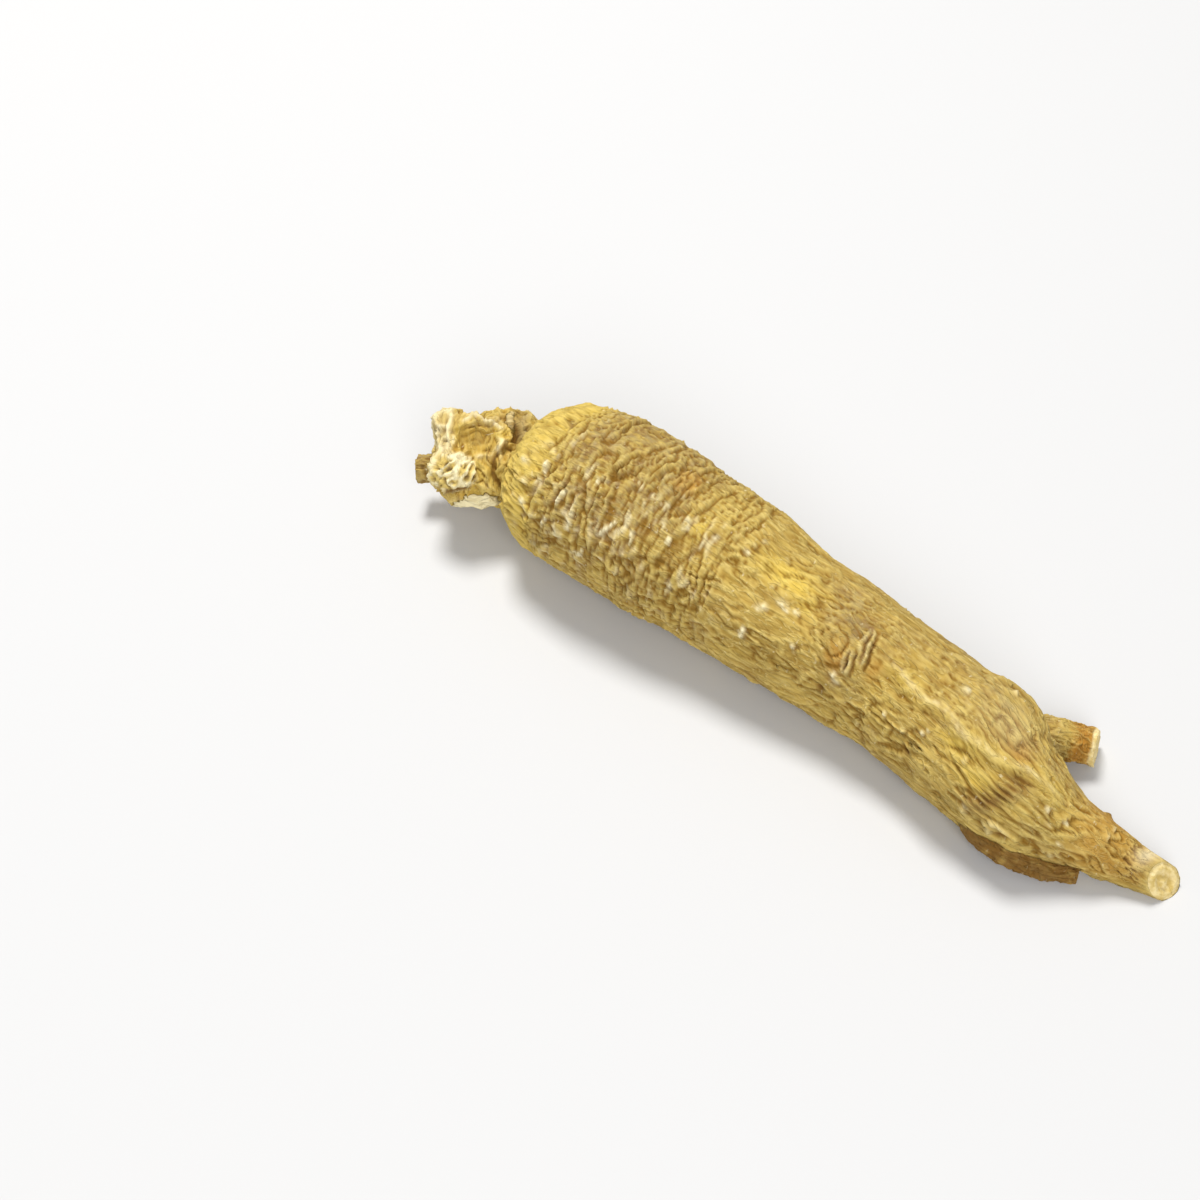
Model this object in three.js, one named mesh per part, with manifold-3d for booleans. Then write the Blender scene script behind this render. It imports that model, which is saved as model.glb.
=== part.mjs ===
// American ginseng root: one dried taproot lying on its side, grown as a single solid.
// Millimetres. X runs from the rhizome knob (-) to the tail (+), -Y is the near side, Z is up.
// The origin is the centre of the footprint, on the surface the root rests on.
import * as THREE from 'three';
import { mergeVertices } from 'three/addons/utils/BufferGeometryUtils.js';
import Module from 'manifold-3d';

// Driving dimensions
const SHOULDER_DIAMETER = 19.2; // thickest part of the taproot, just behind the knob
const TAPROOT_LENGTH = 83.8; // blunt shoulder face to the cut tail, along the root
const CAP_LENGTH = 6.5; // length over which the shoulder rounds off towards the knob
const KNOB_WIDTH = 10.6; // rhizome knob, along the root
const FLAT_DEPTH = 0.35; // how much of the round underside the resting flats take off
const SIDE_ROOTLET_DIAMETER = 4.4; // cut rootlet on the far side
const LOWER_ROOTLET_DIAMETER = 2.6; // thin rootlet lying under the tail on the near side
const STUB_DIAMETER = 3.2; // short root stub under the knob

// Mesh fineness
const BODY_SIDES = 32;
const BODY_RINGS = 50;
const CAP_RINGS = 7;
const ROOTLET_SIDES = 12;
const LUMP_SIDES = 14;

const SHOULDER_RADIUS = SHOULDER_DIAMETER / 2;
const FACE_X = -15.2; // blunt shoulder face, before centring

// Taproot radius as a share of the shoulder radius, at distances along the root
const TAPER_AT = [CAP_LENGTH, 10, 14, 19, 25, 31, 38, 45, 52, 57, 61, 65, 69, 73, 77.5, 82, 87];
const TAPER = [0.965, 1.0, 1.0, 0.98, 0.93, 0.88, 0.81, 0.77, 0.73, 0.73, 0.745, 0.68, 0.57, 0.42, 0.305, 0.217, 0.17];

// Course of the taproot seen from above: distance along the root, then sideways position
const COURSE_AT = [0, 9, 21, 30, 39, 46, 52, 58, 62, 66.5, 72, 78, 87];
const COURSE = [7.1, 6.5, 6.2, 5.7, 4.9, 4.4, 3.7, 2.4, 1.4, 0.1, 0.2, 1.0, 2.0];

// Swellings on the taproot: distance along, degrees from the near side up over the top,
// height, length along the root and width around it, all lengths in mm
const SWELLINGS = [
  { at: 44.6, turn: 58, rise: 0.9, length: 2.6, width: 2.8 }, // knot of an old whorl
  { at: 48.5, turn: 62, rise: 0.55, length: 1.8, width: 4.5 }, // fold behind the knot
  { at: 12.0, turn: 108, rise: 0.35, length: 5.0, width: 6.0 },
  { at: 21.0, turn: 30, rise: 0.3, length: 4.0, width: 5.0 },
  { at: 33.0, turn: 10, rise: 0.35, length: 5.0, width: 5.0 },
  { at: 64.5, turn: 150, rise: 0.9, length: 4.5, width: 4.0 }, // swelling behind the far rootlet
  { at: 68.0, turn: 8, rise: 0.6, length: 3.0, width: 3.0 }, // swelling where the near rootlet leaves
  { at: 55.0, turn: 66, rise: 0.35, length: 6.0, width: 1.8 }, // raised ridge along the top
  { at: 64.0, turn: 66, rise: 0.45, length: 5.0, width: 1.8 },
];

const wasm = await Module();
wasm.setup();

// Closed geometry to a solid that can be joined and cut
function solid(geometry) {
  const bare = geometry.clone();
  bare.deleteAttribute('normal');
  bare.deleteAttribute('uv');
  const merged = mergeVertices(bare, 1e-4);
  const index = merged.index.array;
  const triangles = [];
  for (let i = 0; i < index.length; i += 3) {
    const [a, b, c] = [index[i], index[i + 1], index[i + 2]];
    if (a !== b && b !== c && c !== a) triangles.push(a, b, c);
  }
  return new wasm.Manifold(new wasm.Mesh({
    numProp: 3,
    vertProperties: new Float32Array(merged.attributes.position.array),
    triVerts: new Uint32Array(triangles),
  }));
}

// Solid back to a geometry that can be shown
function geometryOf(manifold) {
  const mesh = manifold.getMesh();
  const geometry = new THREE.BufferGeometry();
  const points = [];
  for (let v = 0; v < mesh.numVert; v += 1) {
    for (let k = 0; k < 3; k += 1) points.push(mesh.vertProperties[v * mesh.numProp + k]);
  }
  geometry.setAttribute('position', new THREE.Float32BufferAttribute(points, 3));
  geometry.setIndex(Array.from(mesh.triVerts));
  geometry.computeVertexNormals();
  return geometry;
}

function interpolant(at, values) {
  const cubic = new THREE.CubicInterpolant(at, values, 1, new Float64Array(1));
  return (distance) => cubic.evaluate(distance)[0];
}

const taper = interpolant(TAPER_AT, TAPER);
const course = interpolant(COURSE_AT, COURSE);

// Taproot radius: an elliptical cap at the shoulder, then the taper
function taprootRadius(distance) {
  if (distance >= CAP_LENGTH) return SHOULDER_RADIUS * taper(distance);
  const short = (CAP_LENGTH - distance) / CAP_LENGTH;
  return SHOULDER_RADIUS * TAPER[0] * Math.sqrt(Math.max(0, 1 - short ** 2.4));
}

// Raised or sunken skin at a distance along the root and an angle round it
function swelling(distance, turn) {
  let rise = 0;
  for (const bump of SWELLINGS) {
    const along = (distance - bump.at) / bump.length;
    const offTurn = Math.atan2(Math.sin(turn - bump.turn * Math.PI / 180), Math.cos(turn - bump.turn * Math.PI / 180));
    const across = offTurn * taprootRadius(distance) / bump.width;
    rise += bump.rise * Math.exp(-along * along - across * across);
  }
  return rise;
}

// Point on the taproot axis; the root lies with its underside just below the resting plane
function axisPoint(distance) {
  const radius = taprootRadius(Math.max(distance, CAP_LENGTH));
  return new THREE.Vector3(FACE_X + distance, course(distance), radius - FLAT_DEPTH);
}

// Turned profile bent along the taproot axis, with the swellings laid on it
function taproot() {
  const profile = [new THREE.Vector2(0, 0)];
  for (let i = 1; i <= CAP_RINGS; i += 1) {
    const distance = CAP_LENGTH * (1 - Math.cos((i / CAP_RINGS) * Math.PI / 2)) ** 1.15;
    profile.push(new THREE.Vector2(taprootRadius(distance), distance));
  }
  const end = TAPROOT_LENGTH + 1.5;
  for (let i = 1; i <= BODY_RINGS; i += 1) {
    const distance = CAP_LENGTH + (end - CAP_LENGTH) * (i / BODY_RINGS);
    profile.push(new THREE.Vector2(taprootRadius(distance), distance));
  }
  profile.push(new THREE.Vector2(0, end));
  const geometry = new THREE.LatheGeometry(profile, BODY_SIDES);
  const position = geometry.attributes.position;
  for (let i = 0; i < position.count; i += 1) {
    const distance = position.getY(i);
    const radius = Math.hypot(position.getX(i), position.getZ(i));
    const turn = Math.atan2(position.getZ(i), position.getX(i));
    const oval = 1 + 0.025 * Math.cos(2 * turn - 0.6 + distance * 0.05);
    const reach = radius > 0 ? radius * oval + swelling(distance, turn) * Math.min(1, radius / 3) : 0;
    const centre = axisPoint(distance);
    const slope = (course(distance + 0.5) - course(distance - 0.5));
    const near = new THREE.Vector3(slope, -1, 0).normalize();
    centre.addScaledVector(near, reach * Math.cos(turn));
    centre.z += reach * Math.sin(turn);
    position.setXYZ(i, centre.x, centre.y, centre.z);
  }
  return solid(geometry);
}

// Tapered round rootlet along a smooth path, cut square at both ends
function rootlet(path, startRadius, endRadius, rings) {
  const curve = new THREE.CatmullRomCurve3(path.map((p) => new THREE.Vector3(...p)));
  const profile = [new THREE.Vector2(0, 0)];
  for (let i = 0; i <= rings; i += 1) {
    profile.push(new THREE.Vector2(startRadius + (endRadius - startRadius) * (i / rings), i / rings));
  }
  profile.push(new THREE.Vector2(0, 1));
  const geometry = new THREE.LatheGeometry(profile, ROOTLET_SIDES);
  const position = geometry.attributes.position;
  for (let i = 0; i < position.count; i += 1) {
    const share = Math.min(1, Math.max(0, position.getY(i)));
    const centre = curve.getPointAt(share);
    const tangent = curve.getTangentAt(share);
    const side = new THREE.Vector3(-tangent.y, tangent.x, 0).normalize().negate();
    const upper = new THREE.Vector3().crossVectors(side, tangent);
    centre.addScaledVector(side, position.getX(i));
    centre.addScaledVector(upper, position.getZ(i));
    position.setXYZ(i, centre.x, centre.y, centre.z);
  }
  return solid(geometry);
}

// Rounded lump: an ellipsoid at a centre, turned about Z then tipped about Y
function lump(centre, radii, turn = 0, tip = 0) {
  const geometry = new THREE.SphereGeometry(1, LUMP_SIDES, Math.round(LUMP_SIDES * 0.7));
  geometry.scale(...radii);
  geometry.rotateY(tip);
  geometry.rotateZ(turn);
  geometry.translate(...centre);
  return solid(geometry);
}

// Rhizome knob: a blocky cluster of bud and stem-scar lumps with one scar hollow on top
function knob() {
  const half = KNOB_WIDTH / 2;
  let body = lump([-20.3, 4.3, 7.9], [half * 0.92, half * 0.92, half * 0.96], 0.3);
  body = body.add(lump([-16.4, 5.6, 8.6], [half * 0.8, half, half * 0.95]));
  body = body.add(lump([-23.4, 6.6, 8.6], [2.3, 2.6, 2.7], 0.4)); // outer lip of the scar
  body = body.add(lump([-19.2, 8.2, 9.4], [3.4, 2.2, 3.2], -0.3)); // far lip of the scar
  body = body.add(lump([-21.9, 1.5, 8.0], [3.0, 2.4, 3.2], 0.5)); // flaky pale lump
  body = body.add(lump([-18.8, 0.9, 4.7], [3.4, 2.2, 2.3], 0.2)); // broken scale underneath
  body = body.add(lump([-16.2, 2.9, 9.6], [1.8, 1.7, 2.0])); // bud scale beside the shoulder
  const hollow = lump([-21.0, 3.4, 13.6], [2.7, 2.3, 2.2], 0.5, 0.2);
  return body.subtract(hollow);
}

// Box standing on one face, reaching outward from a plane through a point
function halfSpaceBox(point, normal, size) {
  const geometry = new THREE.BoxGeometry(size, size, size);
  geometry.translate(0, 0, size / 2);
  const turn = new THREE.Quaternion().setFromUnitVectors(new THREE.Vector3(0, 0, 1), normal.clone().normalize());
  geometry.applyQuaternion(turn);
  geometry.translate(point.x, point.y, point.z);
  return solid(geometry);
}

function ginsengRoot() {
  let root = taproot().add(knob());

  // cut rootlet leaving the far side and dipping to the resting plane
  const side = SIDE_ROOTLET_DIAMETER / 2;
  root = root.add(rootlet([[44, 4.5, 5.6], [49.5, 8.0, 4.4], [53, 10.8, 2.9], [56.2, 12.6, 1.9]], side * 1.15, side * 0.84, 9));

  // thin rootlet leaving the near side and lying beside the tail
  const lower = LOWER_ROOTLET_DIAMETER / 2;
  root = root.add(rootlet([[47, -2.2, 4.0], [52.5, -4.7, 2.6], [57, -3.9, 1.5], [60.9, -2.3, 1.0]], lower * 1.4, lower * 0.8, 9));

  // short stub of a root under the knob
  const stub = STUB_DIAMETER / 2;
  root = root.add(rootlet([[-21.5, 4.2, 6.4], [-24.6, 2.4, 5.4], [-27.4, 0.9, 4.9]], stub * 1.1, stub, 5));

  // oblique cut across the tail, facing up and to the near side
  const tail = axisPoint(TAPROOT_LENGTH);
  root = root.subtract(halfSpaceBox(tail, new THREE.Vector3(0.75, -0.35, 0.55), 30));

  // flats on the underside where the root rests
  root = root.subtract(halfSpaceBox(new THREE.Vector3(20, 3, 0), new THREE.Vector3(0, 0, -1), 140));
  return root;
}

const geometry = geometryOf(ginsengRoot());
geometry.computeBoundingBox();
const { min, max } = geometry.boundingBox;
geometry.translate(-(min.x + max.x) / 2, -(min.y + max.y) / 2, -min.z);

const skin = new THREE.MeshStandardMaterial({ color: 0xc9ad62, roughness: 0.82, metalness: 0.0 });
skin.name = 'root_skin';

const root = new THREE.Mesh(geometry, skin);
root.name = 'ginseng_root';

const group = new THREE.Group();
group.name = 'american_ginseng_root';
group.add(root);

export default group;
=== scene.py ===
import math

import bmesh
import bpy
import numpy as np
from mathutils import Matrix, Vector


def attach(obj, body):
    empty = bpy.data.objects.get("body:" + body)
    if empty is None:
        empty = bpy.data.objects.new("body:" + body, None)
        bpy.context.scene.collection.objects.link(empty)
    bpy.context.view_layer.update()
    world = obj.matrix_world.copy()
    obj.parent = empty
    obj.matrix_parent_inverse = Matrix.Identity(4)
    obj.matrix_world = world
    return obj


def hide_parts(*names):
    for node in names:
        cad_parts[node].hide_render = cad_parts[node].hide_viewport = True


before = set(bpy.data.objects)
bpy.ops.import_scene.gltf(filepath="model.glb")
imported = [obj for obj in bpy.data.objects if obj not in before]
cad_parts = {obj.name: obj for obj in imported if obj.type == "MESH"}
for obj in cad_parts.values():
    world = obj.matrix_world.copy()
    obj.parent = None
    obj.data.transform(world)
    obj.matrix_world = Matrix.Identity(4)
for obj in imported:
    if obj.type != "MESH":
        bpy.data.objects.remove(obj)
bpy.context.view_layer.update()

# ---- driving dimensions
MM = 0.001
SHOULDER_RADIUS = 9.6
TAPROOT_LENGTH = 83.8
CAP_LENGTH = 6.5
FACE_X = -15.2  # where the taproot starts, against the knob
FLAT_DEPTH = 0.35  # how far the taproot's axis is lowered, to rest on a flat
FOOTPRINT_CENTRE = np.array([20.94, 5.00, 0.0])

# taproot radius as a share of the shoulder radius, along the root
TAPER_AT = [6.5, 10, 14, 19, 25, 31, 38, 45, 52, 57, 61, 65, 69, 73, 77.5, 82, 87]
TAPER = [0.965, 1.0, 1.0, 0.98, 0.93, 0.88, 0.81, 0.77, 0.73,
         0.73, 0.745, 0.68, 0.57, 0.42, 0.305, 0.217, 0.17]

# sideways course of the taproot, along the root
COURSE_AT = [0, 9, 21, 30, 39, 46, 52, 58, 62, 66.5, 72, 78, 87]
COURSE = [7.1, 6.5, 6.2, 5.7, 4.9, 4.4, 3.7, 2.4, 1.4, 0.1, 0.2, 1.0, 2.0]

# spacing of a skin's points
SPACING = 0.19
RING_COUNTS = (16, 24, 40, 60, 80, 120, 160, 240, 320)


# ---- numbers
def curve(at, values):
    """Smooth function through a few points."""
    at = np.array(at, float)
    values = np.array(values, float)
    slope = np.gradient(values, at)

    def read(x):
        x = np.clip(x, at[0], at[-1])
        k = np.clip(np.searchsorted(at, x, side="right") - 1, 0, len(at) - 2)
        width = at[k + 1] - at[k]
        t = (x - at[k]) / width
        start = (1 + 2 * t) * (1 - t) ** 2 * values[k] + t * (1 - t) ** 2 * width * slope[k]
        end = t * t * (3 - 2 * t) * values[k + 1] + t * t * (t - 1) * width * slope[k + 1]
        return start + end

    return read


def step(low, high, x):
    """0 below the low value, 1 above the high one, and smooth between them."""
    t = np.clip((x - low) / (high - low), 0, 1)
    return t * t * (3 - 2 * t)


def band(low, high, edge, x):
    """1 from the low value to the high one, with soft edges."""
    return step(low - edge, low + edge, x) * (1 - step(high - edge, high + edge, x))


def bell(x, width):
    """1 at zero, fading away on both sides."""
    return np.exp(-(x / width) ** 2)


def dome(x, half_width):
    """1 at zero, falling to 0 at the half width."""
    return np.clip(1 - (x / half_width) ** 2, 0, 1)


def round_axis(along, radius, turn):
    """Points round a straight axis."""
    return np.stack([along, radius * np.cos(turn), radius * np.sin(turn)], axis=1)


def unit(vectors):
    return vectors / np.linalg.norm(vectors, axis=1)[:, None]


LATTICE = np.random.default_rng(7)
ORDER = LATTICE.permutation(256)
SLOPES = unit(LATTICE.normal(size=(256, 3)))
NOISE_GAIN = 1.7


def noise(points, seed):
    """Smooth noise, about -1 to 1, one feature to a unit."""
    cell = np.floor(points).astype(int)
    frac = points - cell
    fade = frac ** 3 * (frac * (frac * 6 - 15) + 10)
    total = np.zeros(len(points))
    for corner in range(8):
        offset = np.array([corner & 1, corner >> 1 & 1, corner >> 2 & 1])
        key = (cell + offset + 31 * seed) & 255
        pick = ORDER[(ORDER[(ORDER[key[:, 0]] + key[:, 1]) & 255] + key[:, 2]) & 255]
        rise = ((frac - offset) * SLOPES[pick]).sum(1)
        total += np.prod(np.where(offset, fade, 1 - fade), axis=1) * rise
    return total * NOISE_GAIN


def sway(points, sizes, seed):
    """Three noises with sizes of their own, for pushing points about."""
    return np.stack([noise(points / size, seed + k) for k, size in enumerate(sizes)], axis=1)


def line_at_zero(level, steepness, power):
    """1 where a level crosses zero, falling to 0 on both sides."""
    return (1 - np.minimum(np.abs(level) * steepness, 1.0)) ** power


def crests(points, seed):
    """1 on narrow raised lines, falling to 0 in broad hollows."""
    return line_at_zero(noise(points, seed), 2.0, 1.5)


def folds(points, seed):
    """Thin raised lines, and the narrow crease that follows one side of each."""
    level = noise(points, seed)
    return line_at_zero(level, 3.0, 1.3), band(0.14, 0.3, 0.07, level)


# ---- woven skins
FLOOR_SOFTNESS = 0.02  # rounds a skin off where it would dip under the floor
BENDS = ((2, 0.05), (8, 0.13))  # rounds of smoothing, and the bend that then counts as 1


def ring_count(radius):
    need = 2 * math.pi * radius / SPACING
    return next((n for n in RING_COUNTS if n >= need), RING_COUNTS[-1])


def weave(counts):
    """Triangles between successive rings, a count of 1 being a pole.
    Returns the corner points and each corner's share of the way round."""
    starts = np.concatenate([[0], np.cumsum(counts)])
    corners = []
    shares = []
    for k in range(len(counts) - 1):
        a, b = counts[k], counts[k + 1]
        i = a if a == 1 else 0
        j = b if b == 1 else 0
        while i < a or j < b:
            if j >= b or (i < a and (i + 1) / a <= (j + 1) / b):
                third = (i + 0.5) / a if b == 1 else j / b
                corners.append((starts[k] + i % a, starts[k] + (i + 1) % a, starts[k + 1] + j % b))
                shares.append((i / a, (i + 1) / a, third))
                i += 1
            else:
                first = (j + 0.5) / b if a == 1 else i / a
                corners.append((starts[k] + i % a, starts[k + 1] + (j + 1) % b, starts[k + 1] + j % b))
                shares.append((first, (j + 1) / b, j / b))
                j += 1
    return np.array(corners), np.array(shares)


def normals_of(points, corners):
    a, b, c = (points[corners[:, k]] for k in range(3))
    facing = np.cross(b - a, c - a)
    total = np.zeros_like(points)
    for k in range(3):
        np.add.at(total, corners[:, k], facing)
    return total / np.maximum(np.linalg.norm(total, axis=1), 1e-12)[:, None]


class Skin:
    """A closed skin: rings of points round an axis, given as (count, place along, share of the radius)."""

    def __init__(self, rings):
        counts = [r[0] for r in rings]
        self.corners, self.shares = weave(counts)
        self.ring = np.repeat(np.arange(len(rings)), counts)
        self.along = np.repeat([float(r[1]) for r in rings], counts)
        self.reach = np.repeat([r[2] for r in rings], counts)
        self.turn = np.concatenate([np.arange(n) / n * 2 * math.pi for n in counts])

    def face(self, beyond):
        """Which points lie on the flat end, beyond a place along the skin."""
        return (self.reach < 1) & (self.along > beyond)

    def put(self, points):
        """Places the points, and turns the triangles outward."""
        self.points = points
        a, b, c = (points[self.corners[:, k]] for k in range(3))
        if (np.cross(a, b) * c).sum() < 0:
            self.corners = self.corners[:, ::-1]
            self.shares = self.shares[:, ::-1]
        self.normal = normals_of(points, self.corners)

    def displace(self, relief):
        """Lays the relief on, keeps it above the floor and finds its hollows and crests."""
        self.points = self.points + self.normal * relief[:, None]
        low = self.points[:, 2]
        self.points[:, 2] = 0.5 * (low + np.sqrt(low * low + FLOOR_SOFTNESS))
        pairs = np.concatenate([self.corners[:, [0, 1]], self.corners[:, [1, 2]], self.corners[:, [2, 0]]])
        degree = np.bincount(pairs[:, 0], minlength=len(self.points))[:, None]
        normal = normals_of(self.points, self.corners)
        soft = self.points
        bends = []
        for rounds, full_bend in BENDS:
            for _ in range(rounds):
                total = np.zeros_like(soft)
                np.add.at(total, pairs[:, 0], soft[pairs[:, 1]])
                soft = total / degree
            bends.append(((soft - self.points) * normal).sum(1) / full_bend)
        self.sharp, self.broad = bends


# hollow is painted shade in hollows and creases, top is painted highlight on crests; the dirt mask is real
# dirt, and painted shade on the stub
MASKS = ("hollow", "top", "dirt", "yellow", "orange", "brown", "pale", "cut", "smooth")


class Surface:
    """Relief over a smooth skin, and the masks that its colours follow. `straight` is where each point
    lies on the straightened root, for the grain of its material."""

    def __init__(self, straight):
        self.straight = straight
        self.relief = np.zeros(len(straight))
        self.masks = {name: np.zeros(len(straight)) for name in MASKS}

    def tint(self, **strengths):
        """Strengthens masks wherever they are weaker than this."""
        for name, strength in strengths.items():
            self.masks[name] = np.maximum(self.masks[name], strength)

    def clear(self, share, *names):
        """Takes a share of masks away."""
        for name in names:
            self.masks[name] = self.masks[name] * (1 - share)

    def paint_shade_and_highlight(self, sharp, broad):
        """Paints shade into the hollows and highlight onto the crests that the relief left."""
        hollow = 0.4 * step(0.25, 1.5, sharp) + 0.5 * step(0.2, 1.5, broad)
        self.masks["hollow"] = 0.5 * self.masks["hollow"] + hollow
        lit = 0.5 * step(0.3, 1.5, -sharp) + 0.35 * step(0.3, 1.4, -broad)
        self.masks["top"] = 0.55 * self.masks["top"] + lit


def make_object(name, skin, surface, uv):
    """Mesh of a skin with its relief laid on, carrying what its material reads."""
    skin.displace(surface.relief)
    surface.paint_shade_and_highlight(skin.sharp, skin.broad)
    mesh = bpy.data.meshes.new(name)
    points = (skin.points - FOOTPRINT_CENTRE) * MM
    mesh.from_pydata(points.tolist(), [], skin.corners.tolist())
    mesh.shade_smooth()
    straight = mesh.attributes.new("straight", "FLOAT_VECTOR", "POINT")
    straight.data.foreach_set("vector", surface.straight.astype(np.float32).ravel())
    for k in range(0, len(MASKS), 3):
        group = np.stack([np.clip(surface.masks[mask], 0, 1) for mask in MASKS[k:k + 3]], axis=1)
        layer = mesh.attributes.new("masks%d" % (k // 3), "FLOAT_VECTOR", "POINT")
        layer.data.foreach_set("vector", group.astype(np.float32).ravel())
    layer = mesh.uv_layers.new(name="OFBake")
    layer.data.foreach_set("uv", uv.astype(np.float32).reshape(-1))
    made = bpy.data.objects.new(name, mesh)
    bpy.context.scene.collection.objects.link(made)
    return made


def lay_out(u, v, spot):
    """Spreads a skin over its (x, y, width, height) of the texture square."""
    x, y, wide, high = spot
    return np.stack([u * wide + x, v * high + y], axis=2)


def lay_disc(uv, skin, face, centre, radius):
    """Gives a cut face a round place of its own in the texture square."""
    on_face = face[skin.corners].any(axis=1)
    spin = skin.shares[on_face] * 2 * math.pi
    size = skin.reach[skin.corners[on_face]] * radius
    uv[on_face] = np.stack([centre[0] + size * np.cos(spin), centre[1] + size * np.sin(spin)], axis=2)


# ---- taproot shape
taper = curve(TAPER_AT, TAPER)
course = curve(COURSE_AT, COURSE)
CAP_BLUNTNESS = 2.4
OVAL_SHARE = 0.025

# slanted tail cut: how far each side of the tail runs past its middle, per millimetre off the axis
CUT_LEAN = (-0.47, -0.73)
CUT_LEAN_LENGTH = 9.0

SWELLINGS = (
    # along, turn, rise, length, width
    (44.8, 58, 0.8, 2.4, 2.6),
    (48.5, 62, 0.45, 1.8, 4.5),
    (12.0, 108, 0.35, 5.0, 6.0),
    (21.0, 30, 0.3, 4.0, 5.0),
    (33.0, 10, 0.35, 5.0, 5.0),
    (64.5, 150, 0.9, 4.5, 4.0),
    (68.0, 8, 0.6, 3.0, 3.0),
    (55.0, 66, 0.3, 6.0, 2.0),
    (64.0, 66, 0.4, 5.0, 2.0),
)


def taproot_radius(along):
    body = SHOULDER_RADIUS * taper(along)
    short = np.clip((CAP_LENGTH - along) / CAP_LENGTH, 0, 1)
    cap = SHOULDER_RADIUS * TAPER[0] * np.sqrt(1 - short ** CAP_BLUNTNESS)
    return np.where(along >= CAP_LENGTH, body, cap)


def across(turn, degrees, radius):
    """Distance round the root from a given turn."""
    away = (turn - np.radians(degrees) + math.pi) % (2 * math.pi) - math.pi
    return away * radius


def taproot_place(along, turn, reach):
    radius = taproot_radius(along)
    swell = np.zeros_like(along)
    for at, degrees, rise, length, width in SWELLINGS:
        gap = across(turn, degrees, radius)
        swell += rise * np.exp(-((along - at) / length) ** 2 - (gap / width) ** 2)
    oval = 1 + OVAL_SHARE * np.cos(2 * turn - 0.6 + along * 0.05)
    out = (radius * oval + swell * np.minimum(1, radius / 3)) * reach
    slope = course(along + 0.5) - course(along - 0.5)
    near = unit(np.stack([slope, -np.ones_like(slope), np.zeros_like(slope)], axis=1))
    height = taproot_radius(np.maximum(along, CAP_LENGTH)) - FLAT_DEPTH
    place = np.stack([FACE_X + along, course(along), height], axis=1)
    place += near * (out * np.cos(turn))[:, None]
    place[:, 2] += out * np.sin(turn)
    # the last few millimetres lean over to meet the slanted cut
    lean = step(TAPROOT_LENGTH - CUT_LEAN_LENGTH, TAPROOT_LENGTH, along) * radius * reach
    place[:, 0] += lean * (CUT_LEAN[0] * np.cos(turn) + CUT_LEAN[1] * np.sin(turn))
    return place


# ---- taproot bark
LENTICELS = (
    # along, turn, half width across the root, half length along it
    (7.6, 52, 1.0, 0.20), (12.8, 31, 1.6, 0.28), (10.8, 40, 1.2, 0.18), (17.4, 36, 1.5, 0.24),
    (20.4, 39, 0.9, 0.20), (24.1, 52, 0.8, 0.18), (9.8, 18, 0.9, 0.17), (15.0, 12, 0.9, 0.18),
    (13.8, 60, 0.7, 0.15), (36.0, 24, 0.8, 0.25), (26.4, 22, 0.7, 0.16), (58.7, 40, 0.6, 0.16),
    (41.5, 34, 0.6, 0.15), (54.0, 30, 0.6, 0.15), (71.0, 58, 0.6, 0.15),
)
SCATTERED_SCARS = 46

CRUMBS = (
    # along, turn, radius
    (28.4, 71, 0.32), (32.1, 76, 0.26), (32.7, 93, 0.24), (36.4, 47, 0.36), (36.9, 50, 0.3),
    (38.2, 60, 0.42), (38.9, 57, 0.34), (40.0, 60, 0.26), (59.1, 90, 0.34), (46.7, 34, 0.34),
    (47.2, 29, 0.4), (73.0, 60, 0.2), (73.2, 30, 0.17), (71.6, 45, 0.18), (4.6, 50, 0.4),
    (5.6, 38, 0.35), (6.4, 24, 0.4), (22.6, 60, 0.3), (24.8, 70, 0.24),
)

SHOULDER_GROOVES = (
    # along, turn, half width, depth
    (12.3, 118, 6.0, 0.40), (16.6, 95, 3.0, 0.22), (19.8, 84, 3.5, 0.28), (23.8, 112, 4.0, 0.28),
    (9.2, 70, 2.5, 0.22), (27.2, 45, 2.5, 0.25), (14.2, 20, 2.5, 0.25), (30.8, 100, 3.0, 0.20),
    (17.8, 60, 2.5, 0.25), (15.2, 72, 3.0, 0.25), (21.4, 64, 2.0, 0.20), (25.4, 86, 3.0, 0.22),
)

KNOT = (45.1, 58.6)  # along, turn
KNOT_FOLDS = (
    # along, turn, half width, rise
    (48.5, 67, 2.1, 0.70),
    (47.8, 49, 1.3, 0.55),
)

PITS = (
    # along, turn, length, width, depth
    (28.2, 71, 0.75, 0.75, 0.35),
    (45.9, 15, 0.45, 0.35, 0.50),
    (58.0, 13, 0.45, 0.30, 0.30),
)

PATCHES = dict(
    # along, turn, length, width, strength
    brown=((28.2, 71, 0.8, 0.8, 0.8), (45.9, 15, 0.6, 0.5, 1.0), (58.0, 13, 0.5, 0.35, 0.8),
           (45.2, 76, 2.0, 1.5, 0.25)),
    yellow=((26.4, 72, 1.3, 1.2, 1.1), (37.6, 80, 3.6, 1.7, 1.2), (40.4, 72, 1.6, 1.2, 1.0),
            (62.5, 52, 3.0, 1.5, 0.8), (66.0, 40, 2.5, 1.5, 0.8)),
    dirt=((45.4, 78, 2.8, 2.0, 1.8), (43.6, 98, 3.4, 2.4, 0.9), (61.0, 100, 5.0, 4.0, 0.7)),
    orange=((46.2, 47, 1.1, 1.4, 1.2), (50.2, 56, 1.0, 1.2, 0.6), (66.7, 90, 1.2, 1.3, 0.8),
            (81.6, 70, 0.8, 0.9, 0.9)),
    pale=((64.5, 98, 2.8, 2.6, 0.1),),
    smooth=((61.0, 61, 1.4, 0.6, 1.0),),
)

# course of the pale ridge: its turn round the root, along the root
RIDGE_AT = [50, 52.4, 56.4, 59, 61, 62.3, 64, 66, 68, 70.2, 74]
RIDGE_TURN = [70, 68, 62, 65, 61, 59, 64, 69, 79, 80, 84]

CURL = (68.3, 9)  # along, turn


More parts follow.
